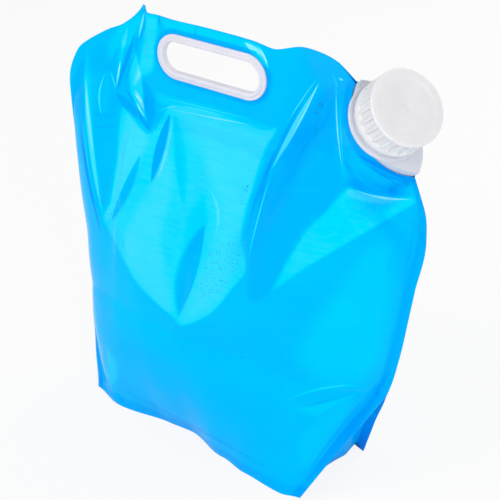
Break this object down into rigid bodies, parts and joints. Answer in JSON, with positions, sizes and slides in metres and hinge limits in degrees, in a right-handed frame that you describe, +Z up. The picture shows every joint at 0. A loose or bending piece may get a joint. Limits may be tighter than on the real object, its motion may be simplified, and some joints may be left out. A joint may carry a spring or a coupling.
{
  "type": "collapsible water carrier",
  "caption": "Soft film water carrier that stands on a folded base, with a snap-ring hand hole in its sealed header and a screw-capped spout set aslant in the top corner.",
  "frame": {"origin": "on the flat standing face of the base, under the middle of the pouch's width", "axes": "+X towards the spout's side, -Y out of the front panel, +Z up"},
  "size_m": [0.3202, 0.1161, 0.3448],
  "materials": {
    "film": "glossy see-through blue film",
    "ring_plastic": "smooth satin white plastic",
    "spout_plastic": "cloudy natural white plastic",
    "cap_plastic": "fine-grained off-white plastic",
    "liner": "smooth pale foam seal"
  },
  "bodies": {
    "pouch": {"front_film": "film", "back_film": "film", "bottom_gusset": "film", "handle_ring_front": "ring_plastic", "handle_ring_back": "ring_plastic", "spout": "spout_plastic"},
    "seal": {"cap_liner": "liner"},
    "cap": {"cap": "cap_plastic"}
  },
  "joints": [
    {"name": "cap_lift", "type": "slide", "parent": "pouch", "child": "seal", "axis": [0.7142, -0.333, 0.6157], "range_m": [0, 0.0201]},
    {"name": "cap_turn", "type": "hinge", "parent": "seal", "child": "cap", "pos_m": [0.12106, -0.005, 0.30341], "axis": [0.7142, -0.333, 0.6157], "range_deg": [0, 1440]}
  ],
  "couplings": [
    {"joint": "cap_lift", "follows": "cap_turn", "m_per_rad": 0.00079577}
  ]
}
